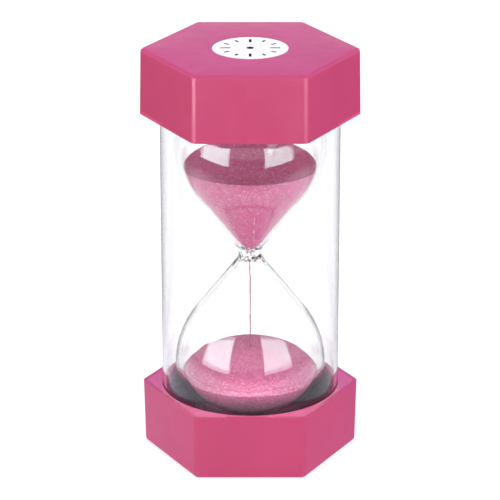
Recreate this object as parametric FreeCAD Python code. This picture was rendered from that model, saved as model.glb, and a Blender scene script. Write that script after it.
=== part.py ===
"""Hexagonal sand timer: two moulded caps, a clear tube, and a blown glass bulb with sand.

Millimetres, +Z up. The origin is the centre of the lower cap's flat face, and a flat side of
the hexagon faces -Y. The timer stands on either cap, so the caps, collars and pads come in
mirrored pairs.
"""

import FreeCAD, Part
import math
import os

V = FreeCAD.Vector
UP = V(0, 0, 1)
ORIGIN = V(0, 0, 0)

# Whole timer
TOTAL_HEIGHT = 150.0
MID_HEIGHT = TOTAL_HEIGHT / 2

# Moulded caps
CAP_HEIGHT = 24.0
FACE_CIRCUMRADIUS = 38.7  # hexagon at the closed face
OPEN_CIRCUMRADIUS = 39.2  # hexagon at the open side, wider by the mould's draft
CORNER_RADIUS = 2.4
LEAST_CORNER_RADIUS = 0.8  # of the hexagons inside the wall
FACE_EDGE_RADIUS = 1.4
RIM_EDGE_RADIUS = 0.3
WALL = 1.2
FACE_THICKNESS = 2.0
LABEL_RECESS = 0.2
RIB_TOP = 10.0
RIB_WIDTH = 1.2
RIB_COUNT = 12
RIB_START_RADIUS = 8.0
RIB_REACH = 40.0
RING_RADII = (8.0, 20.0)

# Clear tube
TUBE_RADIUS = 31.85
TUBE_WALL = 1.2
TUBE_CLEARANCE = 0.1

# Collars that close the corners between hexagon and tube
WEB_THICKNESS = 1.8
COLLAR_GAP = 0.05
COLLAR_CHAMFER = 0.35
TONGUE_THICKNESS = 1.3
TONGUE_WIDTH = 13.0

# Glass bulb, measured up or down from the middle of its neck
NECK_HEIGHT = 74.0
NECK_RADIUS = 4.16
CONE_ANGLE = math.radians(37.9)  # between the funnel's wall and the axis
CONE_OFFSET = 2.9  # radius that the funnel's wall would have at the neck
BELLY_RADIUS = 27.1
BELLY_DISTANCE = 42.0
END_DEPTH = 19.1  # from the belly to the end of the bulb
END_BEND_RADIUS = 14.0
BULB_TOP = NECK_HEIGHT + BELLY_DISTANCE + END_DEPTH
THROAT_RADIUS = 0.5
THROAT_DISTANCE = 1.3
BORE_CONE_OFFSET = 0.75
BORE_CONE_START = 3.2
BORE_BELLY_RADIUS = 24.9
BORE_BELLY_DISTANCE = 41.5
BORE_END_DEPTH = 18.2
NIB_RADIUS = 5.0
NIB_HEIGHT = 1.6
NIB_ROOT = 1.5  # how far the nib reaches down into the wall
FILL_HOLE_RADIUS = 3.0

# Rubber plug in the fill hole
PLUG_LENGTH = 5.0
PLUG_HEAD_RADIUS = 4.2
PLUG_HEAD_HEIGHT = 1.2

# Foam pads
PAD_TOP = 20.9
PAD_SIDE_GAP = 0.25
PAD_HOLE_RADIUS = 6.0
UPPER_PAD_SPRING = 1.0  # how much less the upper pad is pressed than the lower one

# Sand
SAND_GAP = 0.06
UPPER_SAND_LEVEL = 109.4
UPPER_SAND_DISH = 7.0  # how far its middle has sunk
LOWER_HEAP_LEVEL = 28.8
LOWER_HEAP_RADIUS = 22.9
LOWER_HEAP_CROWN = 8.4
HEAP_BEND_RADIUS = 4.5
CUT_MARGIN = 1.0  # how far the outlines that cut the sand reach past the bore
STREAM_RADIUS = 0.28

# Round paper label
LABEL_RADIUS = 13.4
LABEL_THICKNESS = 0.15
LABEL_RECESS_RADIUS = 13.6


def hexagon_wire(circumradius, corner_radius, z):
    """Hexagon with rounded corners, flat sides facing +Y and -Y."""
    setback = corner_radius * math.tan(math.radians(30))
    centre_distance = circumradius - corner_radius / math.cos(math.radians(30))
    starts, middles, ends = [], [], []
    for step in range(6):
        angle = math.radians(60 * step)
        corner = V(math.cos(angle), math.sin(angle), 0) * circumradius
        before = V(math.cos(angle - math.radians(60)), math.sin(angle - math.radians(60)), 0)
        after = V(math.cos(angle + math.radians(60)), math.sin(angle + math.radians(60)), 0)
        to_before = (before * circumradius - corner).normalize()
        to_after = (after * circumradius - corner).normalize()
        lift = V(0, 0, z)
        starts.append(corner + to_before * setback + lift)
        ends.append(corner + to_after * setback + lift)
        tip = centre_distance + corner_radius
        middles.append(V(math.cos(angle), math.sin(angle), 0) * tip + lift)
    edges = []
    for step in range(6):
        edges.append(Part.Arc(starts[step], middles[step], ends[step]).toShape())
        edges.append(Part.makeLine(ends[step], starts[(step + 1) % 6]))
    return Part.Wire(edges)


def hexagon_radius_at(z):
    """Outer circumradius of the cap at height z above its closed face."""
    return FACE_CIRCUMRADIUS + (OPEN_CIRCUMRADIUS - FACE_CIRCUMRADIUS) * z / CAP_HEIGHT


def hexagon_block(inset, z_low, z_high):
    """Tapered hexagonal block, its sides inset from the cap's outer sides."""
    shrink = inset / math.cos(math.radians(30))
    corner = max(CORNER_RADIUS - inset, LEAST_CORNER_RADIUS)
    low = hexagon_wire(hexagon_radius_at(z_low) - shrink, corner, z_low)
    high = hexagon_wire(hexagon_radius_at(z_high) - shrink, corner, z_high)
    return Part.makeLoft([low, high], True, True)


def edges_at_height(shape, z):
    """Edges that lie wholly at height z."""
    box_edges = []
    for edge in shape.Edges:
        box = edge.BoundBox
        if abs(box.ZMin - z) < 1e-4 and abs(box.ZMax - z) < 1e-4:
            box_edges.append(edge)
    return box_edges


def ring(inner_radius, outer_radius, z_low, z_high):
    """Flat ring or short pipe on the timer's axis."""
    height = z_high - z_low
    outer = Part.makeCylinder(outer_radius, height, V(0, 0, z_low), UP)
    inner = Part.makeCylinder(inner_radius, height, V(0, 0, z_low), UP)
    return outer.cut(inner)


def band(inner_radius, outer_radius, z_low, z_high):
    """Half section of a ring or disc: a rectangle beside the axis."""
    corners = [
        V(inner_radius, 0, z_low),
        V(outer_radius, 0, z_low),
        V(outer_radius, 0, z_high),
        V(inner_radius, 0, z_high),
    ]
    return Part.Face(Part.makePolygon(corners + corners[:1]))


def section(edges):
    """Half section from the edges of its closed outline."""
    return Part.Face(Part.Wire(Part.sortEdges(edges)[0]))


def turn(half_section):
    """Solid turned about the timer's axis."""
    (face,) = half_section.Faces
    return face.revolve(ORIGIN, UP, 360)


def mirrored(shape):
    """Copy for the other end of the timer."""
    return shape.mirror(V(0, 0, MID_HEIGHT), UP)


def make_lower_cap():
    """Cup with a hexagonal outside, a rounded face edge, and ribs on its floor."""
    body = hexagon_block(0, 0, CAP_HEIGHT)
    body = body.makeFillet(FACE_EDGE_RADIUS, edges_at_height(body, 0))
    body = body.makeFillet(RIM_EDGE_RADIUS, edges_at_height(body, CAP_HEIGHT))
    ribs = []
    for radius in RING_RADII:
        ribs.append(ring(radius, radius + RIB_WIDTH, FACE_THICKNESS, RIB_TOP))
    rib_height = RIB_TOP - FACE_THICKNESS
    for step in range(RIB_COUNT):
        corner = V(RIB_START_RADIUS, -RIB_WIDTH / 2, FACE_THICKNESS)
        rib = Part.makeBox(RIB_REACH, RIB_WIDTH, rib_height, corner)
        rib.rotate(ORIGIN, UP, 360 / RIB_COUNT * step)
        ribs.append(rib)
    hollow = hexagon_block(WALL, FACE_THICKNESS, CAP_HEIGHT)
    hollow = hollow.cut(ribs[0].fuse(ribs[1:]))
    recess = Part.makeCylinder(LABEL_RECESS_RADIUS, LABEL_RECESS, ORIGIN, UP)
    return body.cut([hollow, recess])


def make_lower_collar():
    """Plate with a round hole, and six tongues that stand on the cap's corner ribs."""
    hole_radius = TUBE_RADIUS + TUBE_CLEARANCE
    web_low = CAP_HEIGHT - WEB_THICKNESS
    web = hexagon_block(WALL + COLLAR_GAP, web_low, CAP_HEIGHT)
    web = web.cut(Part.makeCylinder(hole_radius, CAP_HEIGHT * 2))
    sleeve = ring(hole_radius, hole_radius + TONGUE_THICKNESS, RIB_TOP, CAP_HEIGHT - WEB_THICKNESS / 2)
    tongues = []
    for step in range(6):
        slab = Part.makeBox(RIB_REACH, TONGUE_WIDTH, CAP_HEIGHT, V(0, -TONGUE_WIDTH / 2, 0))
        slab.rotate(ORIGIN, UP, 60 * step)
        tongues.append(sleeve.common(slab))
    collar = web.fuse(tongues)
    hole_edges = []
    for edge in edges_at_height(collar, CAP_HEIGHT):
        if abs(edge.BoundBox.XMax - hole_radius) < 1e-3 or abs(edge.BoundBox.XMin + hole_radius) < 1e-3:
            hole_edges.append(edge)
    return collar.makeChamfer(COLLAR_CHAMFER, hole_edges)


def make_outer_tube():
    """Clear tube that stands on the ribs of both caps."""
    return ring(TUBE_RADIUS - TUBE_WALL, TUBE_RADIUS, RIB_TOP, TOTAL_HEIGHT - RIB_TOP)


def shoulder_radius(offset, belly_radius, belly_distance):
    """Radius of the arc that joins a funnel's straight wall to the bulb's belly."""
    slope = math.tan(CONE_ANGLE)
    overshoot = offset + slope * belly_distance - belly_radius
    return overshoot / (slope * math.sin(CONE_ANGLE) - (1 - math.cos(CONE_ANGLE)))


def point(radius, distance, direction):
    """Point of the bulb's outline, distance away from the middle of the neck."""
    return V(radius, 0, NECK_HEIGHT + direction * distance)


def bend_edge(start, middle, end):
    """Arc as a spline edge, which stays exact when its centre is across the axis."""
    return Part.Arc(start, middle, end).toBSpline().toShape()


def dome_edges(radius, depth, edge_radius, foot, direction):
    """Rounded end of a bulb or heap: a small arc at its side and a flat one over the axis."""
    inner = radius - edge_radius
    crown_radius = (inner**2 + depth**2 - edge_radius**2) / (2 * (depth - edge_radius))
    lean = math.asin(inner / (crown_radius - edge_radius))

    def on_side(angle):
        out = inner + edge_radius * math.sin(angle)
        return V(out, 0, foot + direction * edge_radius * math.cos(angle))

    def on_crown(angle):
        up = depth - crown_radius + crown_radius * math.cos(angle)
        return V(crown_radius * math.sin(angle), 0, foot + direction * up)

    side_middle = (math.pi / 2 + lean) / 2
    return [
        bend_edge(on_side(math.pi / 2), on_side(side_middle), on_side(lean)),
        bend_edge(on_side(lean), on_crown(lean / 2), on_crown(0)),
    ]


def bulb_half(start, wall, belly_radius, belly_distance, end_depth, direction):
    """Edges from start along the funnel, round the shoulder and over the end to the axis."""
    bend = shoulder_radius(wall, belly_radius, belly_distance)

    def on_shoulder(angle):
        out = belly_radius - bend * (1 - math.cos(angle))
        return point(out, belly_distance - bend * math.sin(angle), direction)

    foot = NECK_HEIGHT + direction * belly_distance
    shoulder = [
        Part.makeLine(start, on_shoulder(CONE_ANGLE)),
        bend_edge(on_shoulder(CONE_ANGLE), on_shoulder(CONE_ANGLE / 2), on_shoulder(0)),
    ]
    return shoulder + dome_edges(belly_radius, end_depth, END_BEND_RADIUS, foot, direction)


def bulb_outside():
    """Half section of the bulb as if it were solid, without its nib."""
    slope = math.tan(CONE_ANGLE)
    bend = (NECK_RADIUS - CONE_OFFSET) / (1 / math.cos(CONE_ANGLE) - 1)
    neck_distance = bend * math.sin(CONE_ANGLE)
    neck_edge_radius = CONE_OFFSET + slope * neck_distance
    below = point(neck_edge_radius, neck_distance, -1)
    above = point(neck_edge_radius, neck_distance, 1)
    edges = [bend_edge(below, point(NECK_RADIUS, 0, 1), above)]
    for start, direction in ((below, -1), (above, 1)):
        edges += bulb_half(start, CONE_OFFSET, BELLY_RADIUS, BELLY_DISTANCE, END_DEPTH, direction)
    reach = BELLY_DISTANCE + END_DEPTH
    edges.append(Part.makeLine(point(0, reach, -1), point(0, reach, 1)))
    return section(edges)


def bulb_bore(gap):
    """Half section of the bulb's inside, shrunk by a gap all round."""
    slope = math.tan(CONE_ANGLE)
    throat = THROAT_RADIUS - gap
    offset = BORE_CONE_OFFSET - gap / math.cos(CONE_ANGLE)
    funnel_start = offset + slope * BORE_CONE_START
    belly = BORE_BELLY_RADIUS - gap
    depth = BORE_END_DEPTH - gap
    edges = [Part.makeLine(point(throat, THROAT_DISTANCE, -1), point(throat, THROAT_DISTANCE, 1))]
    for direction in (-1, 1):
        start = point(funnel_start, BORE_CONE_START, direction)
        edges.append(Part.makeLine(point(throat, THROAT_DISTANCE, direction), start))
        edges += bulb_half(start, offset, belly, BORE_BELLY_DISTANCE, depth, direction)
    reach = BORE_BELLY_DISTANCE + depth
    edges.append(Part.makeLine(point(0, reach, -1), point(0, reach, 1)))
    return section(edges)


def make_glass_bulb():
    """Two glass bulbs drawn out of one tube, with a nib and a fill hole at the upper end."""
    nib = band(0, NIB_RADIUS, BULB_TOP - NIB_ROOT, BULB_TOP + NIB_HEIGHT)
    hole = band(0, FILL_HOLE_RADIUS, BULB_TOP - END_DEPTH / 2, BULB_TOP + NIB_HEIGHT)
    outside = bulb_outside().fuse(nib).removeSplitter()
    return turn(outside.cut([bulb_bore(0), hole]))


def make_fill_plug():
    """Stepped rubber plug, its head resting on the nib."""
    nib_top = BULB_TOP + NIB_HEIGHT
    shank = band(0, FILL_HOLE_RADIUS, nib_top - PLUG_LENGTH, nib_top)
    head = band(0, PLUG_HEAD_RADIUS, nib_top, nib_top + PLUG_HEAD_HEIGHT)
    return turn(shank.fuse(head).removeSplitter())


def make_foam_pad(z_low, z_high):
    """Foam ring between the tube's wall and the end of the bulb, which sinks into it."""
    outer_radius = TUBE_RADIUS - TUBE_WALL - PAD_SIDE_GAP
    return turn(band(PAD_HOLE_RADIUS, outer_radius, z_low, z_high).cut(bulb_outside()))


def heap_space(level, radius, crown):
    """Half section of all below a level, with a heap of a radius on top."""
    reach = BORE_BELLY_RADIUS + CUT_MARGIN
    edges = [
        Part.makeLine(ORIGIN, V(reach, 0, 0)),
        Part.makeLine(V(reach, 0, 0), V(reach, 0, level)),
        Part.makeLine(V(reach, 0, level), V(radius, 0, level)),
        Part.makeLine(V(0, 0, level + crown), ORIGIN),
    ]
    return section(edges + dome_edges(radius, crown, HEAP_BEND_RADIUS, level, 1))


def make_upper_sand():
    """Sand that still has to run, dished over the upper end of the throat."""
    foot = NECK_HEIGHT + THROAT_DISTANCE
    reach = BORE_BELLY_RADIUS + CUT_MARGIN
    rim = V(reach, 0, UPPER_SAND_LEVEL)
    sunk = UPPER_SAND_LEVEL - UPPER_SAND_DISH
    dish_radius = (reach**2 + UPPER_SAND_DISH**2) / (2 * UPPER_SAND_DISH)
    lean = math.asin(reach / dish_radius) / 2
    halfway = V(dish_radius * math.sin(lean), 0, sunk + dish_radius * (1 - math.cos(lean)))
    edges = [
        Part.makeLine(V(0, 0, foot), V(reach, 0, foot)),
        Part.makeLine(V(reach, 0, foot), rim),
        bend_edge(rim, halfway, V(0, 0, sunk)),
        Part.makeLine(V(0, 0, sunk), V(0, 0, foot)),
    ]
    return turn(bulb_bore(SAND_GAP).common(section(edges)))


def make_lower_sand():
    """Sand that has run through, heaped under the stream."""
    space = heap_space(LOWER_HEAP_LEVEL, LOWER_HEAP_RADIUS, LOWER_HEAP_CROWN)
    return turn(bulb_bore(SAND_GAP).common(space))


def make_sand_stream():
    """Thin stream of falling sand, from the throat to the top of the lower heap."""
    foot = LOWER_HEAP_LEVEL + LOWER_HEAP_CROWN
    start = NECK_HEIGHT + THROAT_DISTANCE
    return Part.makeCylinder(STREAM_RADIUS, start - foot, V(0, 0, foot), UP)


def make_duration_label():
    """Round paper label in the upper cap's recess."""
    floor = TOTAL_HEIGHT - LABEL_RECESS
    return Part.makeCylinder(LABEL_RADIUS, LABEL_THICKNESS, V(0, 0, floor), UP)


def make_parts():
    """Every piece of the timer by its name."""
    lower_cap = make_lower_cap()
    lower_collar = make_lower_collar()
    upper_pad_foot = TOTAL_HEIGHT - PAD_TOP - UPPER_PAD_SPRING
    return {
        "lower_cap": lower_cap,
        "upper_cap": mirrored(lower_cap),
        "lower_collar": lower_collar,
        "upper_collar": mirrored(lower_collar),
        "outer_tube": make_outer_tube(),
        "glass_bulb": make_glass_bulb(),
        "fill_plug": make_fill_plug(),
        "lower_foam_pad": make_foam_pad(RIB_TOP, PAD_TOP),
        "upper_foam_pad": make_foam_pad(upper_pad_foot, TOTAL_HEIGHT - RIB_TOP),
        "lower_sand": make_lower_sand(),
        "upper_sand": make_upper_sand(),
        "sand_stream": make_sand_stream(),
        "duration_label": make_duration_label(),
    }


def main():
    os.makedirs("parts", exist_ok=True)
    for name, shape in make_parts().items():
        if not shape.isValid() or len(shape.Solids) != 1:
            raise RuntimeError(f"{name} is not one valid solid")
        solid = shape.Solids[0]
        solid.exportStep(f"parts/{name}.step")
        box = solid.BoundBox
        print(f"{name:16s} {solid.Volume / 1000:8.2f} cm3  z {box.ZMin:7.2f} to {box.ZMax:7.2f}")


main()
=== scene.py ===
"""Sand timer with two hexagonal caps, a clear tube and a blown glass bulb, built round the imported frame."""

import math
import random

import bmesh
import bpy
from mathutils import Matrix, Vector, noise


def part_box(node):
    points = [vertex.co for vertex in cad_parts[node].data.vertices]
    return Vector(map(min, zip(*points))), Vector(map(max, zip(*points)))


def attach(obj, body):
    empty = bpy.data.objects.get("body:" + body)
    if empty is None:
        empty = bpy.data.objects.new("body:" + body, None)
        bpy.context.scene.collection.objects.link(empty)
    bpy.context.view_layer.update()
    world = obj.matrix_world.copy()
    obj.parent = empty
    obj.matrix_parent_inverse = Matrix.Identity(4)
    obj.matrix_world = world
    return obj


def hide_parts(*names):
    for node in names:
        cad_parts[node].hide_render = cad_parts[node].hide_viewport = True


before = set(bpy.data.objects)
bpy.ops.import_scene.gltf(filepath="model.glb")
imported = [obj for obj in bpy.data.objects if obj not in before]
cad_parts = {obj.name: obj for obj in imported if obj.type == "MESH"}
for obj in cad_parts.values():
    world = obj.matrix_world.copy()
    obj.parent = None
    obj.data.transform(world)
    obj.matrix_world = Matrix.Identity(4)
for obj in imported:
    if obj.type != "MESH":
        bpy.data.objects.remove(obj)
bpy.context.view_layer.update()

bl_info = {
    "name": "Sand Timer",
    "version": (1, 0, 0),
    "blender": (4, 5, 0),
    "location": "View3D > Sidebar > Sand Timer",
    "description": "Builds a hexagonal sand timer piece by piece",
    "category": "Object",
}

# Lengths are in millimetres until they become a mesh.
MM = 0.001
TOTAL_HEIGHT = 150.0
CAP_HEIGHT = 24.0
FACE_CIRCUMRADIUS = 38.7
OPEN_CIRCUMRADIUS = 39.2
FACE_THICKNESS = 2.0
WALL = 1.2
LABEL_RECESS = 0.2
LABEL_RECESS_RADIUS = 13.6
LABEL_RADIUS = 13.4
LABEL_THICKNESS = 0.15
LABEL_EDGE = 0.05
TICK_RING_RADIUS = 10.5
TICK_LONG = 3.6
TICK_SHORT = 2.0
TICK_WIDTH = 0.9
DOT_RADIUS = 1.3
INK_THICKNESS = 0.02
INK_LIFT = 0.012

WEB_THICKNESS = 1.8
HOLE_RADIUS = 31.95
HOLE_EDGE_RADIUS = 0.35

TUBE_FOOT = 10.0
TUBE_RADIUS = 31.85
TUBE_WALL = 1.2
TUBE_EDGE = 0.25

NECK_HEIGHT = 74.0
NECK_RADIUS = 4.16
CONE_ANGLE = math.radians(37.9)
CONE_OFFSET = 2.9
BELLY_RADIUS = 27.1
BELLY_DISTANCE = 42.0
END_DEPTH = 19.1
END_BEND_RADIUS = 14.0
BULB_TOP = NECK_HEIGHT + BELLY_DISTANCE + END_DEPTH
THROAT_RADIUS = 0.5
THROAT_DISTANCE = 1.3
BORE_CONE_OFFSET = 0.75
BORE_CONE_START = 3.2
BORE_BELLY_RADIUS = 24.9
BORE_BELLY_DISTANCE = 41.5
BORE_END_DEPTH = 18.2
NIB_RADIUS = 5.0
NIB_HEIGHT = 1.6
FILL_HOLE_RADIUS = 3.0
PLUG_LENGTH = 5.0
PLUG_HEAD_RADIUS = 4.2
PLUG_HEAD_HEIGHT = 1.2

PAD_FOOT = 10.0
PAD_TOP = 20.9
PAD_RADIUS = 30.4
PAD_HOLE_RADIUS = 6.0
UPPER_PAD_SPRING = 1.0
PAD_EDGE_RADIUS = 0.8
PAD_GAP = 0.12

PAD_SKIN_DEPTH = 0.12
PAD_SKIN_SIZE = 1.3

FUNNEL_REACH = 10.0
GLASS_WAVE = 0.012
NECK_WAVE = 0.62
NECK_WAVE_REACH = 6.5
SLOW_WAVE_SIZE = 3.6
FAST_WAVE_SIZE = 1.3
SLOW_WAVE_SHARE = 0.6
FAST_WAVE_SHARE = 0.7

SAND_GAP = 0.12
UPPER_SAND_LEVEL = 108.2
UPPER_SAND_DISH = 6.4
LOWER_HEAP_LEVEL = 28.8
LOWER_HEAP_RADIUS = 22.9
LOWER_HEAP_CROWN = 8.4
HEAP_BEND_RADIUS = 4.5
STREAM_RADIUS = 0.24
STREAM_UNEVENNESS = 0.02
SAND_SKIN = 0.12
GRAINS_PER_HEAP = 1400

HEXAGON_TURN = math.radians(30)
CAP_STEPS = 6
SEAT_SIDES = 96
HOLE_SIDES = 144
FINE_TURN = 192
WIDE_TURN = 240
GLASS_STEP = 0.9
PAD_STEP = 0.5
SAND_STEP = 0.4

# The studio's lengths are in metres.
MIDDLE = (0, 0, 0.075)
CAMERA_DISTANCE = 0.987
CAMERA_ELEVATION = math.radians(20.77)
CAMERA_LENS = 198.3
CAMERA_SHIFT = (-0.0004, -0.0024)
FLOOR_RADIUS = 6.0
FLOOR_GLOW = 0.72
FLOOR_TONE = 0.42
FLOOR_PLAIN_TONE = 0.05
FLOOR_TINT = (0.70, 0.58, 0.88, 1)
HORIZON_GLOW = 0.15
SKY_GLOW = 1.05
SKY_TINT = (0.62, 0.43, 1.06, 1)
SKY_FILL = (0.45, 0.45, 0.47, 1)
PANEL_TINT = (0.72, 1.0, 0.97, 1)
PANEL_PLAIN_START = 0.042
THROUGH_GAIN = 1.45
THROUGH_DEPTH = 8

# Clear surfaces that a ray has passed before it meets a panel.
PAST_NOTHING = 0.5
PAST_TUBE = 3.5
PAST_BULB = 7.5


def arc(centre, radius, start, end, step):
    """Points of an arc in a half section; angles turn from the vertical axis outwards."""
    count = max(2, round(abs(end - start) * radius / step))
    angles = [start + (end - start) * i / count for i in range(count + 1)]
    return [(centre[0] + radius * math.sin(a), centre[1] + radius * math.cos(a)) for a in angles]


def straight(start, end, step):
    """Points along a line of a half section, both ends among them."""
    count = max(1, round(math.dist(start, end) / step))
    return [tuple(a + (b - a) * i / count for a, b in zip(start, end)) for i in range(count + 1)]


def joined(*runs):
    """One run of points, with the points that two runs share kept once."""
    points = []
    for run in runs:
        for spot in run:
            if not points or math.dist(points[-1], spot) > 1e-5:
                points.append(spot)
    return points


def dome(radius, depth, edge_radius, step):
    """Rounded end over level 0, from its side to the axis: a small arc and a flat one."""
    inner = radius - edge_radius
    crown = (inner**2 + depth**2 - edge_radius**2) / (2 * (depth - edge_radius))
    lean = math.asin(inner / (crown - edge_radius))
    side = arc((inner, 0), edge_radius, math.pi / 2, lean, step)
    return joined(side, arc((0, depth - crown), crown, lean, 0, step))


def bulb_half(start, offset, belly_radius, belly_distance, end_depth, step):
    """From a funnel's start, round the shoulder and over the end; heights are from the neck."""
    slope = math.tan(CONE_ANGLE)
    overshoot = offset + slope * belly_distance - belly_radius
    bend = overshoot / (slope * math.sin(CONE_ANGLE) - (1 - math.cos(CONE_ANGLE)))
    centre = (belly_radius - bend, belly_distance)
    turned = math.pi / 2
    shoulder = arc(centre, bend, turned + CONE_ANGLE, turned, step)
    end = [(r, z + belly_distance) for r, z in dome(belly_radius, end_depth, END_BEND_RADIUS, step)]
    return joined(straight(start, shoulder[0], step), shoulder, end)


def outer_half(step):
    """Outside of one bulb, from the middle of the neck to the axis."""
    bend = (NECK_RADIUS - CONE_OFFSET) / (1 / math.cos(CONE_ANGLE) - 1)
    centre = (NECK_RADIUS + bend, 0)
    waist = arc(centre, bend, -math.pi / 2, -math.pi / 2 + CONE_ANGLE, step / 3)
    rest = bulb_half(waist[-1], CONE_OFFSET, BELLY_RADIUS, BELLY_DISTANCE, END_DEPTH, step)
    return joined(waist, rest)


def bore_half(gap, step):
    """Inside of one bulb, from the middle of the throat to the axis, shrunk by a gap."""
    throat = THROAT_RADIUS - min(gap, THROAT_RADIUS / 2)
    offset = BORE_CONE_OFFSET - gap / math.cos(CONE_ANGLE)
    start = (offset + math.tan(CONE_ANGLE) * BORE_CONE_START, BORE_CONE_START)
    funnel = joined(
        straight((throat, 0), (throat, THROAT_DISTANCE), step),
        straight((throat, THROAT_DISTANCE), start, step / 2),
    )
    belly, depth = BORE_BELLY_RADIUS - gap, BORE_END_DEPTH - gap
    return joined(funnel, bulb_half(start, offset, belly, BORE_BELLY_DISTANCE, depth, step))


def placed(half, direction):
    """A half section of one bulb at its height, upwards or downwards from the neck."""
    return [(r, NECK_HEIGHT + direction * z) for r, z in half]


def spun(points, closed=False, turns=FINE_TURN):
    """Turns a half section round the timer's axis."""
    bm = bmesh.new()
    rim = [bm.verts.new((max(r, 0) * MM, 0, z * MM)) for r, z in points]
    ends = rim[1:] + rim[:1] if closed else rim[1:]
    edges = [bm.edges.new(pair) for pair in zip(rim, ends)]
    bmesh.ops.spin(
        bm, geom=rim + edges, cent=(0, 0, 0), axis=(0, 0, 1), angle=math.tau, steps=turns, use_merge=True
    )
    bmesh.ops.remove_doubles(bm, verts=bm.verts, dist=1e-7)
    bmesh.ops.recalc_face_normals(bm, faces=bm.faces)
    return bm


def as_object(name, bm, smooth_angle=40):
    """Ends a bmesh as an object whose place is in its mesh."""
    mesh = bpy.data.meshes.new(name)
    bm.to_mesh(mesh)
    bm.free()
    mesh.shade_smooth()
    mesh.set_sharp_from_angle(angle=math.radians(smooth_angle))
    made = bpy.data.objects.new(name, mesh)
    bpy.context.scene.collection.objects.link(made)
    return made


def fit(piece, material, slot, *nodes):
    """Gives a piece its finish and the CAD nodes that it stands for."""
    piece.data.materials.clear()
    piece.data.materials.append(material)
    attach(piece, "root")
    if nodes:
        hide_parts(*nodes)
    return piece


def see_through(piece):
    """Clear pieces let the lamps' light in without bending it."""
    piece.visible_shadow = False
    piece.visible_diffuse = False
    return piece


def turned_over(bm):
    """Turns a lower piece into the upper one, upside down about the timer's middle."""
    middle = Vector((0, 0, TOTAL_HEIGHT / 2 * MM))
    bmesh.ops.rotate(bm, verts=bm.verts, cent=middle, matrix=Matrix.Rotation(math.pi, 3, "X"))
    return bm


class Finish:
    """A node material with its main shader and a few helpers."""

    def __init__(self, name, **values):
        self.material = bpy.data.materials.new(name)
        self.material.use_nodes = True
        self.tree = self.material.node_tree
        self.shader = self.tree.nodes["Principled BSDF"]
        self.place = self.add("ShaderNodeTexCoord").outputs["Object"]
        for key, value in values.items():
            self.shader.inputs[key.replace("_", " ")].default_value = value

    def add(self, kind, links=(), **values):
        node = self.tree.nodes.new(kind)
        for key, value in values.items():
            if hasattr(node, key):
                setattr(node, key, value)
            else:
                node.inputs[key.replace("_", " ")].default_value = value
        for socket, source in dict(links).items():
            self.tree.links.new(source, node.inputs[socket])
        return node

    def link(self, source, socket):
        self.tree.links.new(source, self.shader.inputs[socket])

    def noise(self, size, detail=3.0, roughness=0.5, place=None):
        """Noise with lumps of a size in millimetres."""
        made = self.add("ShaderNodeTexNoise", Scale=1 / (size * MM), Detail=detail, Roughness=roughness)
        self.tree.links.new(place or self.place, made.inputs["Vector"])
        return made.outputs["Fac"]

    def cells(self, size, feature="F1", output="Distance"):
        """Cells of a size in millimetres."""
        made = self.add("ShaderNodeTexVoronoi", feature=feature, Scale=1 / (size * MM))
        self.tree.links.new(self.place, made.inputs["Vector"])
        return made.outputs[output]

    def spread(self, source, low, high, start=0.0, end=1.0):
        """A value moved from one range into another."""
        made = self.add("ShaderNodeMapRange", {"Value": source})
        for key, value in zip(("From Min", "From Max", "To Min", "To Max"), (start, end, low, high)):
            made.inputs[key].default_value = value
        return made.outputs["Result"]

    def shades(self, source, stops):
        """Colours picked by a value."""
        made = self.add("ShaderNodeValToRGB", {"Fac": source})
        ramp = made.color_ramp
        while len(ramp.elements) < len(stops):
            ramp.elements.new(0.5)
        for stop, (spot, colour) in zip(ramp.elements, stops):
            stop.position = spot
            stop.color = (*colour, 1)
        return made.outputs["Color"]

    def absorb(self, colour, density):
        """Darkens light by its way through the material."""
        made = self.add("ShaderNodeVolumeAbsorption", Density=density)
        made.inputs["Color"].default_value = (*colour, 1)
        self.tree.links.new(made.outputs["Volume"], self.tree.nodes["Material Output"].inputs["Volume"])

    def bump(self, height, strength, depth, below=None):
        """Relief of a depth in millimetres."""
        made = self.add("ShaderNodeBump", {"Height": height}, Strength=strength, Distance=depth * MM)
        if below is not None:
            self.tree.links.new(below, made.inputs["Normal"])
        self.link(made.outputs["Normal"], "Normal")
        return made.outputs["Normal"]


def shade(colour, factor):
    """A colour made lighter or darker."""
    return tuple(min(1.0, part * factor) for part in colour)


def cap_finish(settings):
    """Moulded plastic with faint flow marks and a fine skin."""
    colour = tuple(settings.cap_colour)
    made = Finish("cap_plastic", IOR=1.49)
    flow = made.noise(34, detail=4)
    made.link(made.shades(flow, [(0.3, shade(colour, 0.95)), (0.7, shade(colour, 1.05))]), "Base Color")
    made.link(made.spread(made.noise(6, detail=3), 0.30, 0.38, 0.3, 0.7), "Roughness")
    made.bump(made.noise(14, detail=1), 0.12, 0.03)
    return made.material


def tube_finish():
    """Clear extruded plastic with faint lengthwise draw lines."""
    made = Finish("clear_tube", Roughness=0.0, IOR=1.49, Transmission_Weight=1.0)
    made.shader.inputs["Base Color"].default_value = (0.995, 0.995, 0.995, 1)
    stretched = made.add("ShaderNodeMapping", {"Vector": made.place})
    stretched.inputs["Scale"].default_value = (1, 1, 0.03)
    made.bump(made.noise(3.5, detail=1, place=stretched.outputs["Vector"]), 0.1, 0.02)
    made.absorb((0.80, 0.805, 0.81), 190)
    return made.material


def glass_finish():
    """Blown glass with slow waves in its wall."""
    made = Finish("bulb_glass", Roughness=0.0, IOR=1.5, Transmission_Weight=1.0)
    made.shader.inputs["Base Color"].default_value = (0.995, 0.995, 0.995, 1)
    made.bump(made.noise(11, detail=1), 0.12, 0.05)
    made.absorb((0.80, 0.805, 0.81), 8)
    return made.material


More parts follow.
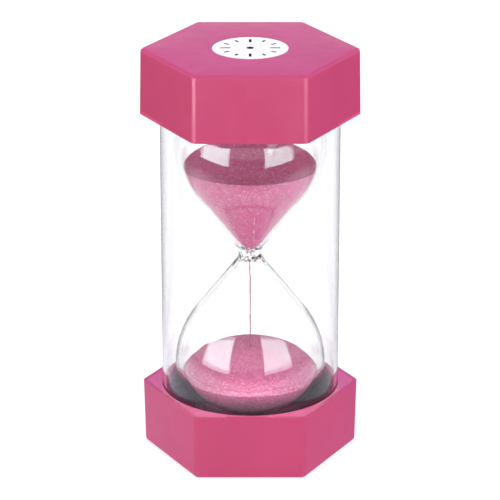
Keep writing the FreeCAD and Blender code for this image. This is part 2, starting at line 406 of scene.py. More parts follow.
def rubber_finish():
    """Grey rubber with a dull, dusty skin."""
    made = Finish("plug_rubber", Roughness=0.7)
    made.link(made.shades(made.noise(1.2), [(0.3, (0.2, 0.2, 0.2)), (0.7, (0.3, 0.3, 0.3))]), "Base Color")
    made.bump(made.noise(0.3), 0.3, 0.05)
    return made.material


def foam_finish():
    """Black foam with fine cells."""
    made = Finish("black_foam", Roughness=0.95, Specular_IOR_Level=0.15)
    cell = made.cells(0.7)
    # The cells are real pores; their darker middles, where the bump sinks them, are painted shade in the
    # pores.
    dark, pale = (0.006, 0.005, 0.006), (0.024, 0.022, 0.024)
    made.link(made.shades(cell, [(0.15, dark), (0.7, pale)]), "Base Color")
    made.bump(cell, 0.8, 0.25)
    return made.material


def sand_finish(settings, name="coloured_sand", painted_shade_factor=1.0):
    """Dyed sand: each grain has its own tint, and a paler band on the ledge round the heap is a painted
    highlight; a factor below one darkens the whole colour as painted shade.
    """
    # The last argument scales the whole sand colour; below one it is painted shade, as on the falling thread.
    colour = shade(settings.sand_colour, painted_shade_factor)
    made = Finish(name, Roughness=0.8, IOR=1.5, Specular_IOR_Level=0.25)
    cells = made.cells(settings.grain_size / MM, output="Color")
    grain = made.add("ShaderNodeSeparateColor", {"Color": cells})
    clump_and_highlight = made.spread(made.noise(1.4, detail=2), -0.05, 0.05, 0.3, 0.7)
    # A paler band within about half a millimetre of the lower heap's ledge height is a painted highlight
    # along the ledge; it is added to the random clumps.
    level = made.add("ShaderNodeSeparateXYZ", {"Vector": made.place})
    off = made.add("ShaderNodeMath", {0: level.outputs["Z"]}, operation="SUBTRACT")
    off.inputs[1].default_value = LOWER_HEAP_LEVEL * MM
    off = made.add("ShaderNodeMath", {0: off.outputs["Value"]}, operation="ABSOLUTE")
    painted_ledge_highlight = made.spread(off.outputs["Value"], 0.55, 0.0, 0.0002, 0.0007)
    clump_and_highlight = made.add("ShaderNodeMath", {0: clump_and_highlight, 1: painted_ledge_highlight}, operation="ADD").outputs["Value"]
    tint = made.add("ShaderNodeMath", {0: grain.outputs["Red"], 1: clump_and_highlight}, operation="ADD", use_clamp=True)
    stops = [
        (0.0, shade(colour, 0.62)),
        (0.2, shade(colour, 0.87)),
        (0.6, colour),
        (0.9, shade(colour, 1.12)),
        (1.0, tuple(0.22 + 0.85 * part for part in colour)),
    ]
    made.link(made.shades(tint.outputs["Value"], stops), "Base Color")
    made.bump(made.cells(settings.grain_size / MM), 0.5, 0.1)
    return made.material


def paper_finish():
    """White label paper with a faint fibre."""
    made = Finish("label_paper", Roughness=0.55)
    fibre = made.noise(0.8)
    made.link(made.shades(fibre, [(0.3, (0.90, 0.90, 0.90)), (0.7, (0.95, 0.95, 0.95))]), "Base Color")
    made.bump(made.noise(0.25), 0.15, 0.01)
    return made.material


def ink_finish():
    """Black print that covers slightly unevenly."""
    made = Finish("label_ink", Roughness=0.8, Specular_IOR_Level=0.1)
    cover = made.noise(0.3)
    made.link(made.shades(cover, [(0.3, (0.004, 0.004, 0.004)), (0.8, (0.02, 0.02, 0.02))]), "Base Color")
    return made.material


class TimerSettings(bpy.types.PropertyGroup):
    """Sizes and colours of the timer."""

    cap_colour: bpy.props.FloatVectorProperty(
        name="Cap colour", description="Colour of the moulded caps", subtype="COLOR", size=3,
        min=0, max=1, default=(0.50, 0.045, 0.130),
    )
    sand_colour: bpy.props.FloatVectorProperty(
        name="Sand colour", description="Middle tint of the dyed sand", subtype="COLOR", size=3,
        min=0, max=1, default=(0.55, 0.126, 0.255),
    )
    grain_size: bpy.props.FloatProperty(
        name="Grain size", description="Width of one grain of sand", unit="LENGTH",
        min=0.0002, max=0.001, precision=5, default=0.0004,
    )
    corner_radius: bpy.props.FloatProperty(
        name="Corner radius", description="Rounding of the caps' upright edges", unit="LENGTH",
        min=0.0005, max=0.005, precision=4, default=0.0024,
    )
    face_edge_radius: bpy.props.FloatProperty(
        name="Face edge radius", description="Rounding round the caps' closed faces", unit="LENGTH",
        min=0.0002, max=0.0018, precision=4, default=0.0014,
    )
    label_ticks: bpy.props.IntProperty(
        name="Label ticks", description="Ticks in the ring printed on the label", min=6, max=60, default=12,
    )


def hexagon(bm, circumradius, z, corner_radius):
    """A flat hexagon with rounded corners, flat sides to the front and back."""
    turn = Matrix.Translation((0, 0, z * MM)) @ Matrix.Rotation(HEXAGON_TURN, 4, "Z")
    made = bmesh.ops.create_circle(bm, cap_ends=True, segments=6, radius=circumradius * MM, matrix=turn)
    bmesh.ops.bevel(
        bm, geom=made["verts"], offset=corner_radius * math.tan(HEXAGON_TURN) * MM,
        offset_type="OFFSET", segments=CAP_STEPS, profile=0.5, affect="VERTICES", material=-1,
    )
    return max(bm.faces, key=lambda face: face.calc_center_median().z)


def lies_at(edge, z):
    """True if both ends of an edge are at a height."""
    return all(abs(v.co.z - z * MM) < 1e-6 for v in edge.verts)


class TIMER_OT_caps(bpy.types.Operator):
    """Two hexagonal moulded caps with a shallow round seat in their faces"""

    bl_idname = "sand_timer.caps"
    bl_label = "Caps"

    def cap(self, settings):
        bm = bmesh.new()
        corner = settings.corner_radius / MM
        turn = Matrix.Translation((0, 0, CAP_HEIGHT / 2 * MM)) @ Matrix.Rotation(HEXAGON_TURN, 4, "Z")
        bmesh.ops.create_cone(
            bm, cap_ends=True, cap_tris=False, segments=6, radius1=FACE_CIRCUMRADIUS * MM,
            radius2=OPEN_CIRCUMRADIUS * MM, depth=CAP_HEIGHT * MM, matrix=turn,
        )
        sides = [e for e in bm.edges if not lies_at(e, 0) and not lies_at(e, CAP_HEIGHT)]
        bmesh.ops.bevel(
            bm, geom=sides, offset=corner * math.tan(HEXAGON_TURN) * MM, offset_type="OFFSET",
            segments=CAP_STEPS, profile=0.5, affect="EDGES", material=-1,
        )
        mouth = max(bm.faces, key=lambda face: face.calc_center_median().z)
        bmesh.ops.inset_individual(bm, faces=[mouth], thickness=WALL * MM, use_even_offset=True)
        hollow = bmesh.ops.extrude_discrete_faces(bm, faces=[mouth])["faces"]
        floor = Vector((0, 0, -(CAP_HEIGHT - FACE_THICKNESS) * MM))
        bmesh.ops.translate(bm, verts=list({v for f in hollow for v in f.verts}), vec=floor)
        face_edges = [e for e in bm.edges if lies_at(e, 0)]
        bmesh.ops.bevel(
            bm, geom=face_edges, offset=settings.face_edge_radius, offset_type="OFFSET",
            segments=CAP_STEPS, profile=0.5, affect="EDGES", material=-1,
        )
        self.sink_seat(bm)
        bmesh.ops.recalc_face_normals(bm, faces=bm.faces)
        return bm

    def sink_seat(self, bm):
        """Lowers a round seat into the closed face."""
        face = min(bm.faces, key=lambda f: f.calc_center_median().z)
        border = list(face.edges)
        bmesh.ops.delete(bm, geom=[face], context="FACES_ONLY")
        ring = bmesh.ops.create_circle(bm, segments=SEAT_SIDES, radius=LABEL_RECESS_RADIUS * MM)["verts"]
        circle = list({e for v in ring for e in v.link_edges})
        bmesh.ops.triangle_fill(bm, use_beauty=True, use_dissolve=False, edges=border + circle)
        bottom = bmesh.ops.extrude_edge_only(bm, edges=circle)["geom"]
        verts = [g for g in bottom if isinstance(g, bmesh.types.BMVert)]
        bmesh.ops.translate(bm, verts=verts, vec=(0, 0, LABEL_RECESS * MM))
        edges = [g for g in bottom if isinstance(g, bmesh.types.BMEdge)]
        bmesh.ops.contextual_create(bm, geom=edges)

    def execute(self, context):
        settings = context.scene.sand_timer
        finish = cap_finish(settings)
        lower = as_object("lower_cap_shell", self.cap(settings), 50)
        fit(lower, finish, "cap_plastic", "lower_cap")
        upper = as_object("upper_cap_shell", turned_over(self.cap(settings)), 50)
        fit(upper, finish, "cap_plastic", "upper_cap")
        return {"FINISHED"}


class TIMER_OT_collars(bpy.types.Operator):
    """Flat webs that close the caps round the tube"""

    bl_idname = "sand_timer.collars"
    bl_label = "Collars"

    def collar(self, settings):
        bm = bmesh.new()
        corner = settings.corner_radius / MM - WALL
        inner = OPEN_CIRCUMRADIUS - WALL / math.cos(HEXAGON_TURN)
        plate = hexagon(bm, inner, CAP_HEIGHT, corner)
        border = list(plate.edges)
        bmesh.ops.delete(bm, geom=[plate], context="FACES_ONLY")
        level = Matrix.Translation((0, 0, CAP_HEIGHT * MM))
        hole = bmesh.ops.create_circle(bm, segments=HOLE_SIDES, radius=HOLE_RADIUS * MM, matrix=level)
        ring = hole["verts"]
        circle = list({e for v in ring for e in v.link_edges})
        bmesh.ops.triangle_fill(bm, use_beauty=True, use_dissolve=False, edges=border + circle)
        bmesh.ops.solidify(bm, geom=bm.faces[:], thickness=WEB_THICKNESS * MM)
        bmesh.ops.recalc_face_normals(bm, faces=bm.faces)
        low = min(v.co.z for v in bm.verts)
        bmesh.ops.translate(bm, verts=bm.verts, vec=(0, 0, (CAP_HEIGHT - WEB_THICKNESS) * MM - low))
        lip = [
            e for e in bm.edges
            if lies_at(e, CAP_HEIGHT)
            and all(abs(v.co.to_2d().length - HOLE_RADIUS * MM) < 1e-6 for v in e.verts)
        ]
        bmesh.ops.bevel(
            bm, geom=lip, offset=HOLE_EDGE_RADIUS * MM, offset_type="OFFSET",
            segments=3, profile=0.5, affect="EDGES", material=-1,
        )
        return bm

    def execute(self, context):
        settings = context.scene.sand_timer
        finish = bpy.data.materials["cap_plastic"]
        lower = as_object("lower_collar_web", self.collar(settings), 50)
        fit(lower, finish, "cap_plastic", "lower_collar")
        upper = as_object("upper_collar_web", turned_over(self.collar(settings)), 50)
        fit(upper, finish, "cap_plastic", "upper_collar")
        return {"FINISHED"}


class TIMER_OT_tube(bpy.types.Operator):
    """Clear tube that guards the glass and holds the caps apart"""

    bl_idname = "sand_timer.tube"
    bl_label = "Outer tube"

    def execute(self, context):
        low, high = TUBE_FOOT, TOTAL_HEIGHT - TUBE_FOOT
        inside = TUBE_RADIUS - TUBE_WALL
        points = joined(
            straight((inside, low + TUBE_EDGE), (inside, high - TUBE_EDGE), 10),
            [(inside + TUBE_EDGE, high), (TUBE_RADIUS - TUBE_EDGE, high)],
            straight((TUBE_RADIUS, high - TUBE_EDGE), (TUBE_RADIUS, low + TUBE_EDGE), 10),
            [(TUBE_RADIUS - TUBE_EDGE, low), (inside + TUBE_EDGE, low)],
        )
        tube = as_object("outer_tube_clear", spun(points, closed=True, turns=WIDE_TURN))
        see_through(fit(tube, tube_finish(), "clear_tube", "outer_tube"))
        return {"FINISHED"}


class TIMER_OT_bulb(bpy.types.Operator):
    """Two glass bulbs drawn out of one tube, with a fill hole at the upper end"""

    bl_idname = "sand_timer.bulb"
    bl_label = "Glass bulb"

    def execute(self, context):
        outer, bore = outer_half(GLASS_STEP), bore_half(0, GLASS_STEP)
        nib_top = BULB_TOP + NIB_HEIGHT
        funnel_top = NECK_HEIGHT + FUNNEL_REACH
        outer_top = [(r, z) for r, z in placed(outer, 1) if r > NIB_RADIUS or z < funnel_top]
        bore_top = [(r, z) for r, z in placed(bore, 1) if r > FILL_HOLE_RADIUS or z < funnel_top]
        nib = [
            (NIB_RADIUS + 0.3, outer_top[-1][1] + 0.1),
            (NIB_RADIUS, nib_top - 0.4),
            (NIB_RADIUS - 0.4, nib_top),
            (FILL_HOLE_RADIUS, nib_top),
        ]
        outside = joined(list(reversed(placed(outer, -1))), outer_top, nib)
        inside = joined(list(reversed(bore_top)), placed(bore, -1))
        bm = spun(joined(outside, inside))
        for vert in bm.verts:
            away = abs(vert.co.z / MM - NECK_HEIGHT)
            lumps = GLASS_WAVE + NECK_WAVE * max(0.0, 1 - away / NECK_WAVE_REACH)
            flat = Vector((vert.co.x, vert.co.y, 0))
            if flat.length > 0.9 * MM:
                slow = noise.noise(vert.co / (SLOW_WAVE_SIZE * MM))
                fast = noise.noise(vert.co / (FAST_WAVE_SIZE * MM))
                wave = SLOW_WAVE_SHARE * slow + FAST_WAVE_SHARE * fast
                vert.co += flat.normalized() * lumps * MM * wave
        bulb = as_object("glass_bulb_blown", bm, 60)
        see_through(fit(bulb, glass_finish(), "bulb_glass", "glass_bulb"))
        return {"FINISHED"}


class TIMER_OT_plug(bpy.types.Operator):
    """Stepped rubber plug in the fill hole"""

    bl_idname = "sand_timer.plug"
    bl_label = "Fill plug"

    def execute(self, context):
        seat = BULB_TOP + NIB_HEIGHT
        top = seat + PLUG_HEAD_HEIGHT
        shank = FILL_HOLE_RADIUS - 0.02
        points = joined(
            [(0, seat - PLUG_LENGTH), (shank - 0.5, seat - PLUG_LENGTH), (shank, seat - PLUG_LENGTH + 0.5)],
            [(shank, seat), (PLUG_HEAD_RADIUS, seat)],
            arc((PLUG_HEAD_RADIUS - 0.4, top - 0.4), 0.4, math.pi / 2, 0, 0.1),
            [(0, top)],
        )
        plug = as_object("fill_plug_rubber", spun(points, turns=64))
        fit(plug, rubber_finish(), "plug_rubber", "fill_plug")
        return {"FINISHED"}


class TIMER_OT_pads(bpy.types.Operator):
    """Black foam rings that cushion the bulb's ends"""

    bl_idname = "sand_timer.pads"
    bl_label = "Foam pads"

    def pad(self, z_foot, z_top, direction):
        """Ring whose inside follows the bulb; direction is the bulb's, from the neck."""
        face, back = (z_top, z_foot) if direction < 0 else (z_foot, z_top)
        glass = placed(outer_half(PAD_STEP), direction)
        wall = [(r + PAD_GAP, z) for r, z in glass if r > PAD_HOLE_RADIUS]
        wall = [(r, z) for r, z in wall if z_foot < z < z_top and abs(z - NECK_HEIGHT) > BELLY_DISTANCE]
        wall.sort(key=lambda spot: -abs(spot[1] - NECK_HEIGHT))
        lip = wall[-1][0]
        edge = PAD_EDGE_RADIUS
        side = 1 if direction < 0 else -1
        rounded = [
            (PAD_RADIUS - edge + edge * math.sin(a), face - side * edge * (1 - math.cos(a)))
            for a in (0, math.pi / 8, math.pi / 4, math.pi * 3 / 8, math.pi / 2)
        ]
        points = joined(
            [(PAD_HOLE_RADIUS, back), (PAD_HOLE_RADIUS, wall[0][1])], wall,
            [(lip + 0.25, face - side * 0.1)],
            straight((lip + 0.7, face), (PAD_RADIUS - edge, face), 0.5),
            rounded, straight((PAD_RADIUS, face - side * edge), (PAD_RADIUS, back), 1),
        )
        bm = spun(points, closed=True, turns=WIDE_TURN)
        for vert in bm.verts:
            if abs(vert.co.z - face * MM) < 2 * MM:
                lump = noise.noise(vert.co / (PAD_SKIN_SIZE * MM)) - 0.7
                vert.co.z += PAD_SKIN_DEPTH * MM * side * lump
        return bm

    def execute(self, context):
        finish = foam_finish()
        lower = as_object("lower_foam_ring", self.pad(PAD_FOOT, PAD_TOP, -1))
        fit(lower, finish, "black_foam", "lower_foam_pad")
        foot = TOTAL_HEIGHT - PAD_TOP - UPPER_PAD_SPRING
        upper = as_object("upper_foam_ring", self.pad(foot, TOTAL_HEIGHT - PAD_FOOT, 1))
        fit(upper, finish, "black_foam", "upper_foam_pad")
        return {"FINISHED"}


class TIMER_OT_sand(bpy.types.Operator):
    """Sand still to run and sand that has run through, with loose grains on top"""

    bl_idname = "sand_timer.sand"
    bl_label = "Sand"

    def upper_skin(self, step):
        """Top of the sand still to run: a shallow dish from the glass to the axis."""
        bore = [spot for spot in placed(bore_half(SAND_GAP, step), 1) if spot[1] <= UPPER_SAND_LEVEL]
        rim = bore[-1][0]
        curve = (rim**2 + UPPER_SAND_DISH**2) / (2 * UPPER_SAND_DISH)
        middle = (0, UPPER_SAND_LEVEL - UPPER_SAND_DISH + curve)
        lean = math.asin(rim / curve)
        return bore, arc(middle, curve, math.pi - lean, math.pi, step)

    def upper_outline(self, step):
        """Sand that still has to run, from the throat to its dished top."""
        bore, top = self.upper_skin(step)
        throat = NECK_HEIGHT + THROAT_DISTANCE
        side = [spot for spot in bore if spot[1] > throat]
        return joined([(0, throat)], side, top)

    def lower_outline(self, step):
        """Sand that has run through, from the bulb's end to the heap's crown."""
        bore = placed(bore_half(SAND_GAP, step), -1)
        side = [spot for spot in reversed(bore) if spot[1] <= LOWER_HEAP_LEVEL]
        ledge = straight((side[-1][0], LOWER_HEAP_LEVEL), (LOWER_HEAP_RADIUS, LOWER_HEAP_LEVEL), step)
        return joined(side, ledge, self.lower_skin(LOWER_HEAP_RADIUS, step))

    def lower_skin(self, radius, step):
        """Top of the lower heap."""
        top = dome(radius, LOWER_HEAP_CROWN, HEAP_BEND_RADIUS, step)
        return [(r, z + LOWER_HEAP_LEVEL) for r, z in top]

    def grained(self, points, seed):
        """Spun sand with a fine unevenness of its skin."""
        bm = spun(points, turns=WIDE_TURN)
        bm.normal_update()
        draw = random.Random(seed)
        for vert in bm.verts:
            vert.co -= vert.normal * draw.uniform(0, SAND_SKIN) * MM
        return bm

    def grains(self, settings, top, count, seed):
        """Loose grains scattered over a heap's top."""
        draw = random.Random(seed)
        grain = bpy.data.meshes.new("grain")
        shape = bmesh.new()
        bmesh.ops.create_icosphere(shape, subdivisions=1, radius=settings.grain_size / 2)
        shape.to_mesh(grain)
        shape.free()
        bm = bmesh.new()
        reach = max(r for r, z in top)
        rising = sorted(top)
        for index in range(count):
            r = reach * math.sqrt(draw.random())
            around = draw.uniform(0, math.tau)
            after = next((k for k, spot in enumerate(rising) if spot[0] >= r), len(rising) - 1)
            a, b = rising[max(after - 1, 0)], rising[after]
            share = (r - a[0]) / (b[0] - a[0]) if b[0] > a[0] else 0
            z = a[1] + (b[1] - a[1]) * share
            sizes = (draw.uniform(0.6, 1.1), draw.uniform(0.6, 1.1), draw.uniform(0.6, 1.0), 1)
            size = Matrix.Diagonal(sizes)
            turn = Matrix.Rotation(draw.uniform(0, math.tau), 4, Vector((draw.random(), draw.random(), 1)))
            spot = Matrix.Translation((r * math.cos(around) * MM, r * math.sin(around) * MM, (z - 0.02) * MM))
            placed_grain = grain.copy()
            placed_grain.transform(spot @ turn @ size)
            bm.from_mesh(placed_grain)
            bpy.data.meshes.remove(placed_grain)
        bpy.data.meshes.remove(grain)
        return bm

    def execute(self, context):
        settings = context.scene.sand_timer
        finish = sand_finish(settings)
        lower_top = self.lower_skin(LOWER_HEAP_RADIUS - 0.3, SAND_STEP)
        for name, outline, skin, seed in (
            ("upper", self.upper_outline(SAND_STEP), self.upper_skin(SAND_STEP)[1], 11),
            ("lower", self.lower_outline(SAND_STEP), lower_top, 12),
        ):
            sand = as_object(f"{name}_sand_heap", self.grained(outline, seed), 180)
            fit(sand, finish, "coloured_sand", f"{name}_sand")
            scattered = self.grains(settings, skin, GRAINS_PER_HEAP, seed + 10)
            loose = as_object(f"{name}_sand_grains", scattered, 180)
            fit(loose, finish, "coloured_sand")
        return {"FINISHED"}


class TIMER_OT_stream(bpy.types.Operator):
    """Thin thread of sand falling through the throat"""

    bl_idname = "sand_timer.stream"
    bl_label = "Sand stream"

    def execute(self, context):
        draw = random.Random(5)
        low, high = (corner.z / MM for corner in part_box("sand_stream"))
        levels = straight((STREAM_RADIUS, low), (STREAM_RADIUS, high), 0.3)
        points = [(0, low)] + [(r * draw.uniform(0.7, 1.1), z) for r, z in levels] + [(0, high)]
        bm = spun(points, turns=10)
        for vert in bm.verts:
            vert.co.x += STREAM_UNEVENNESS * MM * (draw.random() - 0.5)
            vert.co.y += STREAM_UNEVENNESS * MM * (draw.random() - 0.5)
        stream = as_object("sand_thread", bm, 180)
        # The thread takes the sand at six tenths of its colour: painted shade.
        finish = sand_finish(context.scene.sand_timer, "falling_sand_painted_shade", 0.6)
        fit(stream, finish, "coloured_sand", "sand_stream")
        return {"FINISHED"}


class TIMER_OT_label(bpy.types.Operator):
    """Round paper label with a plain ring of ticks"""

    bl_idname = "sand_timer.label"
    bl_label = "Duration label"

    def tick_ring(self, count, level):
        """Ticks round a dot, all at a height; every third tick is longer."""
        bm = bmesh.new()
        for index in range(count):
            length = TICK_LONG if index % 3 == 0 else TICK_SHORT
            turn = Matrix.Rotation(math.tau * index / count, 4, "Z")
            reach = Matrix.Translation(Vector((0, TICK_RING_RADIUS - length / 2, level)) * MM)
            size = Matrix.Diagonal((TICK_WIDTH * MM, length * MM, INK_THICKNESS * MM, 1))
            bmesh.ops.create_cube(bm, size=1, matrix=turn @ reach @ size)
        bmesh.ops.create_cone(
            bm, cap_ends=True, segments=32, radius1=DOT_RADIUS * MM, radius2=DOT_RADIUS * MM,
            depth=INK_THICKNESS * MM, matrix=Matrix.Translation((0, 0, level * MM)),
        )
        return bm

    def execute(self, context):
        settings = context.scene.sand_timer
        seat = TOTAL_HEIGHT - LABEL_RECESS
        top = seat + LABEL_THICKNESS
        edge = [(LABEL_RADIUS, seat), (LABEL_RADIUS, top - LABEL_EDGE), (LABEL_RADIUS - LABEL_EDGE, top)]
        points = [(0, seat), *edge, (0, top)]
        paper = as_object("duration_label_paper", spun(points, turns=128))
        fit(paper, paper_finish(), "label_paper", "duration_label")
        ring = self.tick_ring(settings.label_ticks, top + INK_LIFT)
        fit(as_object("duration_label_print", ring, 30), ink_finish(), "label_ink")
        return {"FINISHED"}


def mirror_share(tree):
    """1 where something is seen mirrored in a surface that isn't behind glass, and 0 elsewhere."""
    path = tree.nodes.new("ShaderNodeLightPath")
    mirrored = tree.nodes.new("ShaderNodeMath")
    mirrored.operation = "MINIMUM"
    mirrored.inputs[1].default_value = 1.0
    tree.links.new(path.outputs["Glossy Depth"], mirrored.inputs[0])
    direct = tree.nodes.new("ShaderNodeMath")
    direct.operation = "LESS_THAN"
    direct.inputs[1].default_value = 0.5
    tree.links.new(path.outputs["Transmission Depth"], direct.inputs[0])
    both = tree.nodes.new("ShaderNodeMath")
    both.operation = "MULTIPLY"
    tree.links.new(mirrored.outputs["Value"], both.inputs[0])
    tree.links.new(direct.outputs["Value"], both.inputs[1])
    return both.outputs["Value"]


def seen_by_ray(tree, straight_value, mirrored_source, plain_source=None):
    """A value for what lies round the timer: straight on, or through the clear pieces, where it makes
    up for the light that they throw back; mirrored in a clear piece; and mirrored in a plain one."""
    path = tree.nodes.new("ShaderNodeLightPath")
    straight = tree.nodes.new("ShaderNodeMapRange")
    tree.links.new(path.outputs["Transmission Depth"], straight.inputs["Value"])
    straight.inputs["From Max"].default_value = THROUGH_DEPTH
    straight.inputs["To Min"].default_value = straight_value
    straight.inputs["To Max"].default_value = THROUGH_GAIN * straight_value
    once = tree.nodes.new("ShaderNodeMath")
    once.operation = "COMPARE"
    once.inputs[1].default_value, once.inputs[2].default_value = 1.0, 0.5
    tree.links.new(path.outputs["Glossy Depth"], once.inputs[0])
    picked = blended(tree, once.outputs["Value"], straight.outputs["Result"], mirrored_source)
    return picked if plain_source is None else blended(tree, mirror_share(tree), picked, plain_source)


def stepped(tree, source, limit, low, high):
    """One value below a limit and another above it."""
    step = tree.nodes.new("ShaderNodeMapRange")
    tree.links.new(source, step.inputs["Value"])
    for key, value in (("From Min", limit), ("From Max", limit + 1e-4), ("To Min", low), ("To Max", high)):
        step.inputs[key].default_value = value
    return step.outputs["Result"]


def blended(tree, share, low, high):
    """Between two values by a share."""
    pick = tree.nodes.new("ShaderNodeMix")
    for key, source in (("Factor", share), ("A", low), ("B", high)):
        if isinstance(source, float):
            pick.inputs[key].default_value = source
        else:
            tree.links.new(source, pick.inputs[key])
    return pick.outputs["Result"]


def soft_light(name, place, size, power, colour=(1, 1, 1), aim=MIDDLE):
    """A soft light that shapes the pieces but isn't mirrored in them. Three small ones stand in the timer."""
    data = bpy.data.lights.new(name, "AREA")
    data.shape, data.energy, data.color = "RECTANGLE", power, colour
    data.size, data.size_y = size
    lamp = bpy.data.objects.new(name, data)
    lamp.location = place
    lamp.rotation_mode = "QUATERNION"
    lamp.rotation_quaternion = (Vector(aim) - lamp.location).to_track_quat("-Z", "Y")
    lamp.visible_camera = lamp.visible_glossy = lamp.visible_transmission = False
    bpy.context.scene.collection.objects.link(lamp)


def panel_light(name, start, end, low, high, radiance, plain_share):
    """An upright soft panel between two points of the floor plan, facing the timer. The glass mirrors it
    once, in its outer skin, and plain pieces mirror a share of it."""
    a, b = Vector((*start, 0)), Vector((*end, 0))
    along = (b - a).normalized()
    facing = Vector((0, 0, 1)).cross(along)
    if facing.dot(-(a + b)) < 0:
        facing = -facing
    data = bpy.data.lights.new(name, "AREA")
    data.shape = "RECTANGLE"
    data.size, data.size_y = (b - a).length, high - low
    data.energy = radiance * math.pi * data.size * data.size_y
    data.use_nodes = True
    tree = data.node_tree
    path = tree.nodes.new("ShaderNodeLightPath")
    spot = tree.nodes.new("ShaderNodeNewGeometry")
    height = tree.nodes.new("ShaderNodeSeparateXYZ")
    tree.links.new(spot.outputs["Position"], height.inputs["Vector"])
    depth = path.outputs["Transmission Depth"]
    plain = stepped(tree, height.outputs["Z"], PANEL_PLAIN_START, 0.0, float(plain_share))
    behind = stepped(tree, depth, PAST_NOTHING, 0.0, 1.0)
    skin = blended(tree, behind, plain, stepped(tree, depth, PAST_TUBE, 0.0, 1.0))
    power = blended(tree, stepped(tree, depth, PAST_BULB, 0.0, 1.0), skin, 0.0)
    tree.nodes["Emission"].inputs["Color"].default_value = PANEL_TINT
    tree.links.new(power, tree.nodes["Emission"].inputs["Strength"])
    lamp = bpy.data.objects.new(name, data)
    lamp.location = (a + b) / 2 + Vector((0, 0, (low + high) / 2))
    lamp.rotation_mode = "QUATERNION"
    lamp.rotation_quaternion = facing.to_track_quat("-Z", "Y")
    lamp.visible_camera = lamp.visible_diffuse = False
    bpy.context.scene.collection.objects.link(lamp)


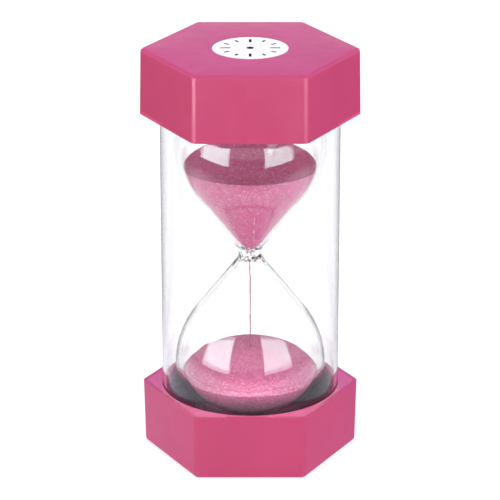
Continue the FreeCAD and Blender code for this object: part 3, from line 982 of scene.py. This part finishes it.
class TIMER_OT_studio(bpy.types.Operator):
    """Pale floor, soft lights, bright surroundings and the camera"""

    bl_idname = "sand_timer.studio"
    bl_label = "Studio"

    def floor(self):
        """A floor that is plain to the camera; rays that the timer mirrors or bends see other tones of it."""
        bm = bmesh.new()
        bmesh.ops.create_circle(bm, cap_ends=True, segments=96, radius=FLOOR_RADIUS)
        made = Finish("studio_floor", Roughness=0.9, Specular_IOR_Level=0.0)
        spot = made.add("ShaderNodeSeparateXYZ", {"Vector": made.place})
        away = made.add("ShaderNodeVectorMath", {0: made.place}, operation="LENGTH")
        narrow = made.add("ShaderNodeMapping", {"Vector": made.place})
        narrow.inputs["Scale"].default_value = (0.46, 1, 1)
        oval = made.add("ShaderNodeVectorMath", {0: narrow.outputs["Vector"]}, operation="LENGTH")
        near = made.spread(away.outputs["Value"], 1.0, 0.05, 0.08, 0.16)
        side = made.spread(spot.outputs["X"], 1.1, 0.5, -0.05, 0.05)
        plain = made.add("ShaderNodeMath", {0: near, 1: side}, operation="MULTIPLY")
        aside = made.add("ShaderNodeMath", {0: spot.outputs["X"]}, operation="ABSOLUTE")
        sources = {0: aside.outputs["Value"], 2: spot.outputs["Y"]}
        back = made.add("ShaderNodeMath", sources, operation="MULTIPLY_ADD")
        back.inputs[1].default_value = -0.47
        shares = (
            made.spread(oval.outputs["Value"], 1.0, 0.04, 0.085, 0.125),
            made.spread(back.outputs["Value"], 0.04, 1.0, 0.0, 0.06),
        )
        most = made.add("ShaderNodeMath", {0: shares[0], 1: shares[1]}, operation="MAXIMUM")
        share = most.outputs["Value"]
        glow, body = made.spread(share, 0.0, FLOOR_GLOW), made.spread(share, 0.0, FLOOR_TONE)
        far = made.spread(away.outputs["Value"], 0.0, HORIZON_GLOW, 0.7, 1.6)
        glow = seen_by_ray(made.tree, FLOOR_GLOW, glow, plain.outputs["Value"])
        glow = made.add("ShaderNodeMath", {0: glow, 1: far}, operation="ADD")
        made.link(glow.outputs["Value"], "Emission Strength")
        made.link(seen_by_ray(made.tree, FLOOR_TONE, body, FLOOR_PLAIN_TONE), "Base Color")
        tint = made.add("ShaderNodeMixRGB", {"Fac": mirror_share(made.tree)})
        tint.inputs["Color1"].default_value = (1, 1, 1, 1)
        tint.inputs["Color2"].default_value = FLOOR_TINT
        made.link(tint.outputs["Color"], "Emission Color")
        floor = as_object("studio_floor", bm)
        floor.data.materials.append(made.material)

    def surroundings(self):
        """A bright world, tinted where plain pieces mirror it and dimmer as a source of light."""
        world = bpy.data.worlds.new("studio_surroundings")
        bpy.context.scene.world = world
        world.use_nodes = True
        nodes, links = world.node_tree.nodes, world.node_tree.links
        path = nodes.new("ShaderNodeLightPath")
        place = nodes.new("ShaderNodeTexCoord")
        height = nodes.new("ShaderNodeSeparateXYZ")
        ramp = nodes.new("ShaderNodeValToRGB")
        links.new(place.outputs["Generated"], height.inputs["Vector"])
        links.new(height.outputs["Z"], ramp.inputs["Fac"])
        stops = ramp.color_ramp.elements
        stops[0].position, stops[0].color = 0.10, (1.0, 1.0, 1.0, 1)
        stops[1].position, stops[1].color = 0.32, SKY_TINT
        inner = seen_by_ray(world.node_tree, SKY_GLOW, 1.0)
        mirrored = nodes.new("ShaderNodeMixRGB")
        links.new(mirror_share(world.node_tree), mirrored.inputs["Fac"])
        links.new(inner, mirrored.inputs["Color1"])
        links.new(ramp.outputs["Color"], mirrored.inputs["Color2"])
        lit = nodes.new("ShaderNodeMixRGB")
        lit.inputs["Color2"].default_value = SKY_FILL
        links.new(path.outputs["Is Diffuse Ray"], lit.inputs["Fac"])
        links.new(mirrored.outputs["Color"], lit.inputs["Color1"])
        links.new(lit.outputs["Color"], nodes["Background"].inputs["Color"])
        nodes["Background"].inputs["Strength"].default_value = 1.0

    def camera(self):
        data = bpy.data.cameras.new("camera")
        data.lens, data.sensor_width = CAMERA_LENS, 36.0
        data.shift_x, data.shift_y = CAMERA_SHIFT
        data.clip_start, data.clip_end = 0.01, 20
        holder = bpy.data.objects.new("camera", data)
        target = Vector(MIDDLE)
        towards = Vector((0, -math.cos(CAMERA_ELEVATION), math.sin(CAMERA_ELEVATION)))
        holder.location = target + CAMERA_DISTANCE * towards
        holder.rotation_mode = "QUATERNION"
        holder.rotation_quaternion = (target - holder.location).to_track_quat("-Z", "Y")
        bpy.context.scene.collection.objects.link(holder)
        bpy.context.scene.camera = holder

    def execute(self, context):
        scene = context.scene
        self.floor()
        self.surroundings()
        self.camera()
        panel_light("left_panel", (-0.146, -0.247), (-0.52, -0.135), 0.014, 0.259, 9.6, 1.0)
        panel_light("right_panel", (0.092, -0.243), (0.405, -0.192), 0.017, 0.257, 7.8, 0.50)
        soft_light("front_light", (0, -1.3, 0.55), (1.4, 0.5), 4.7)
        soft_light("top_light", (0, 0.05, 0.95), (1.0, 1.0), 5.6, (1.0, 0.93, 1.06))
        soft_light("left_light", (-1.2, -0.5, 0.25), (0.8, 0.5), 3.9)
        soft_light("right_light", (1.2, -0.5, 0.25), (0.8, 0.5), 5.2, (1.0, 1.08, 1.42))
        soft_light("upper_sand_light", (0, 0, 0.127), (0.092, 0.03), 0.0100)
        soft_light("lower_sand_light", (0, -0.015, 0.060), (0.02, 0.02), 0.0027, aim=(0, -0.012, 0.03))
        soft_light("sand_foot_light", (0, -0.0295, 0.034), (0.04, 0.006), 0.0015, aim=(0, -0.015, 0.017))
        scene.view_settings.view_transform = "Standard"
        scene.cycles.max_bounces = 32
        scene.cycles.transmission_bounces = 28
        scene.cycles.glossy_bounces = 12
        scene.cycles.caustics_reflective = False
        scene.cycles.caustics_refractive = False
        return {"FINISHED"}


OPERATORS = (
    TIMER_OT_studio,
    TIMER_OT_caps,
    TIMER_OT_collars,
    TIMER_OT_tube,
    TIMER_OT_bulb,
    TIMER_OT_plug,
    TIMER_OT_pads,
    TIMER_OT_sand,
    TIMER_OT_stream,
    TIMER_OT_label,
)


class TIMER_PT_sidebar(bpy.types.Panel):
    """The timer's sizes, colours and pieces"""

    bl_idname = "TIMER_PT_sidebar"
    bl_label = "Sand Timer"
    bl_space_type = "VIEW_3D"
    bl_region_type = "UI"
    bl_category = "Sand Timer"

    def draw(self, context):
        settings = context.scene.sand_timer
        for name in TimerSettings.__annotations__:
            self.layout.prop(settings, name)
        for operator in OPERATORS:
            self.layout.operator(operator.bl_idname)


def register():
    for kind in (TimerSettings, *OPERATORS, TIMER_PT_sidebar):
        bpy.utils.register_class(kind)
    bpy.types.Scene.sand_timer = bpy.props.PointerProperty(type=TimerSettings)


def unregister():
    del bpy.types.Scene.sand_timer
    for kind in reversed((TimerSettings, *OPERATORS, TIMER_PT_sidebar)):
        bpy.utils.unregister_class(kind)


def main():
    """Registers the add-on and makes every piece."""
    register()
    for operator in OPERATORS:
        group, name = operator.bl_idname.split(".")
        getattr(getattr(bpy.ops, group), name)()


if __name__ == "__main__":
    main()
